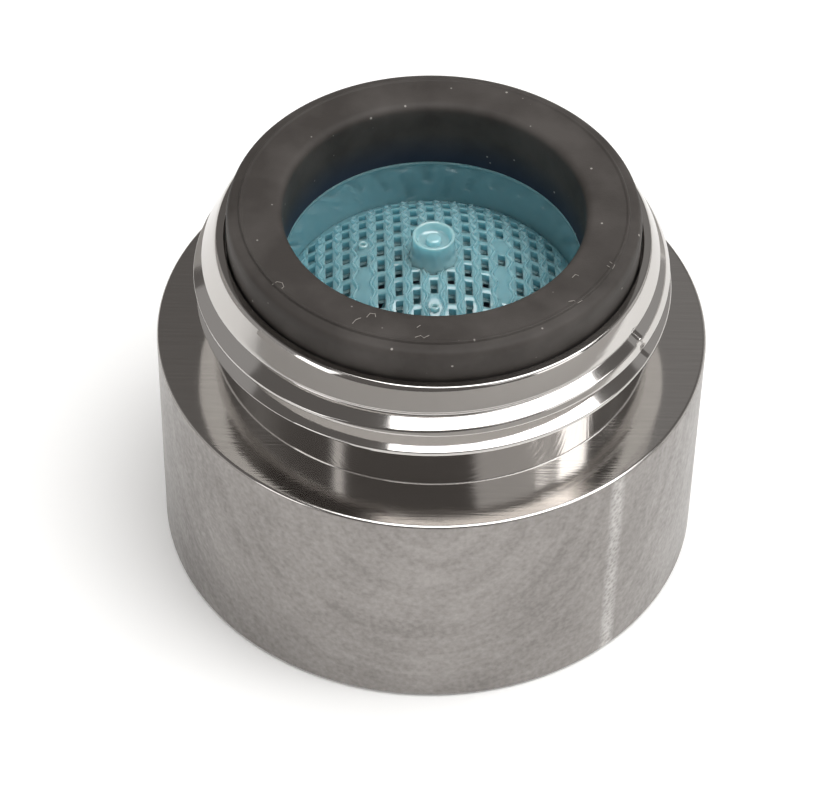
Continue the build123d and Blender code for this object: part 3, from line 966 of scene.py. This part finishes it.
# %% Strainer body
def strainer_body():
    """Points, faces and finishes of the whole strainer."""
    verts, faces, index, rim = pierced_dome()
    start = next(iter(rim))
    loop = [start]
    while rim[loop[-1]] != start:
        loop.append(rim[loop[-1]])
    climb = [
        (WELL_R, SEAT_Z - 0.2), (WELL_R - 0.04, SEAT_Z - 0.14),
        (WELL_R - 0.05, SEAT_Z - 0.06), (WELL_R - 0.03, SEAT_Z),
        (FLANGE_R, SEAT_Z), (FLANGE_R, LEDGE_Z),
        (STRAINER_R, LEDGE_Z), (STRAINER_R, STRAINER_FOOT_Z),
        (WELL_R, STRAINER_FOOT_Z),
    ]
    finishes = [MOULDED] * len(faces)
    low = [index[(a, b, 0)] for a, b in loop]
    angles = [atan2(verts[i][1], verts[i][0]) for i in low]
    for r, z in climb:
        high = range(len(verts), len(verts) + len(low))
        verts += [(r * cos(angle), r * sin(angle), z) for angle in angles]
        for k in range(len(low)):
            after = (k + 1) % len(low)
            faces.append([low[k], low[after], high[after], high[k]])
            finishes.append(MIRRORED if r < FLANGE_R and z > LEDGE_Z else MOULDED)
        low = list(high)
    last = [index[(a, b, 3)] for a, b in loop]
    for k in range(len(low)):
        after = (k + 1) % len(low)
        faces.append([low[k], low[after], last[after], last[k]])
        finishes.append(MOULDED)
    return verts, faces, finishes


teal = teal_acetal("teal_acetal_moulded", TEAL_DEEP, TEAL, SOAK)
glossy_teal = teal_acetal("teal_acetal_polished_mould", TEAL_DEEP, TEAL, SOAK, gloss=HIGH_GLOSS)
strainer = finished("strainer", *strainer_body(), [teal, glossy_teal])
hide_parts("inlet_strainer")

# %% [markdown]
# A boss stands near the dome's crown, where the plastic entered the mould. Its top is dished,
# with the round stub of the gate in the middle. Two small tubular pips stand where the mesh has
# no hole. They are turned like the sleeve, and moved to their places. Boss and pips share a copy
# of the teal painted paler than the dome's: a painted glow that stands in for the light the
# thick plastic of the boss pipes down from its top to its side.

# %% Boss and pips
BOSS_SIDES = 96
BOSS_PLACE = Vector((0.0, 0.3, 0.0))
PIP_SIDES = 32
PIPS = ((-4, 1.5), (0, -2.66))
BOSS_TOP = DOME_TOP + 1.0
# Paler than the dome's teal: a painted glow for the side of the boss.
GLOW_PAINTED_DARK, GLOW_PAINTED_LIGHT = "#8ebac1", "#9ac6cc"
THICK_SOAK = 1.1


def boss_outline(turn):
    """Half section of the boss, from the dome up its side and down into its dish."""
    return one_finish([
        (0.0, DOME_TOP - 0.2, 0.0), (0.93, DOME_TOP - 0.2, 0.0), (0.9, DOME_TOP - 0.03, 0.1),
        (0.83, DOME_TOP + 0.3, 0.25), (0.8, BOSS_TOP, 0.06), (0.7, BOSS_TOP, 0.05),
        (0.58, BOSS_TOP - 0.32, 0.1), (0.29, BOSS_TOP - 0.36, 0.03), (0.28, BOSS_TOP - 0.13, 0.07),
        (0.0, BOSS_TOP - 0.08, 0.0),
    ])


def pip_outline(turn):
    """Half section of a tubular pip, with its foot sunk in the dome."""
    return one_finish([
        (0.0, -0.15, 0.0), (0.19, -0.15, 0.0), (0.18, 0.16, 0.05), (0.09, 0.16, 0.05),
        (0.08, 0.0, 0.02), (0.0, 0.0, 0.0),
    ])


def moved(verts, place):
    """Points shifted by a place, all in mm."""
    return [Vector(v) + place for v in verts]


# The painted-glow copy of the teal, used by the boss and both pips.
painted_glow_teal = teal_acetal(
    "teal_acetal_painted_glow", GLOW_PAINTED_DARK, GLOW_PAINTED_LIGHT, THICK_SOAK, gloss=HIGH_GLOSS
)
verts, faces, finishes = turned(boss_outline, BOSS_SIDES)
boss = finished("moulding_boss", moved(verts, BOSS_PLACE), faces, finishes, [painted_glow_teal])
for number, (column, row) in enumerate(PIPS, 1):
    u, v = column * PITCH_X, row * PITCH_Y
    place = Vector((*mesh_turned(u, v), dome_z(DOME_R, u, v)))
    verts, faces, finishes = turned(pip_outline, PIP_SIDES)
    pip = finished("pip_%d" % number, moved(verts, place), faces, finishes, [painted_glow_teal])

# %% [markdown]
# The pieces below the strainer keep their CAD shapes. They are natural acetal, which is milky
# white, apart from the regulator: its ring is black rubber, and its body is coloured teal, a
# painted shade, so that what shows through the holes of the mesh comes out dark teal. The
# body's own colour is not known.

# %% Inner pieces
MILKY_DARK, MILKY_LIGHT = "#cfd3d2", "#e2e4e2"
# Painted shade colour for the regulator body, which shows only through the mesh's holes.
SHADE_TEAL_DARK, SHADE_TEAL_LIGHT = "#66aab5", "#7abcc6"
ACETAL_MOTTLE = 0.8
ACETAL_SOAK = 1.0
REBUILT = ("housing", "sealing_washer", "inlet_strainer")


def plain_acetal(name, dark, light):
    """Acetal as moulded: light soaks in a little, and the colour varies slightly."""
    material, tree, output = new_material(name)
    place = add(tree, "ShaderNodeTexCoord", {}, {})
    mottle = add(tree, "ShaderNodeTexNoise", {}, {
        "Vector": place.outputs["Object"], "Scale": 1 / (ACETAL_MOTTLE * MM), "Detail": 3.0,
    })
    colour = add(tree, "ShaderNodeMix", {"data_type": "RGBA"}, {
        "Factor": mottle.outputs["Fac"], "A": linear(dark), "B": linear(light),
    })
    shader = add(tree, "ShaderNodeBsdfPrincipled", {}, {
        "Base Color": colour.outputs["Result"], "Roughness": 0.38, "IOR": 1.48,
        "Subsurface Weight": 0.2, "Subsurface Radius": (0.6, 0.6, 0.6),
        "Subsurface Scale": ACETAL_SOAK * MM,
    })
    tree.links.new(shader.outputs["BSDF"], output.inputs["Surface"])
    return material


milky = plain_acetal("natural_acetal_moulded", MILKY_DARK, MILKY_LIGHT)
shade_teal = plain_acetal("acetal_painted_shade_teal", SHADE_TEAL_DARK, SHADE_TEAL_LIGHT)
inner = {"regulator_ring": rubber, "regulator_body": shade_teal}
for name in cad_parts:
    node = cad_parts[name]
    if name not in REBUILT:
        node.data.materials.clear()
        node.data.materials.append(inner.get(name, milky))
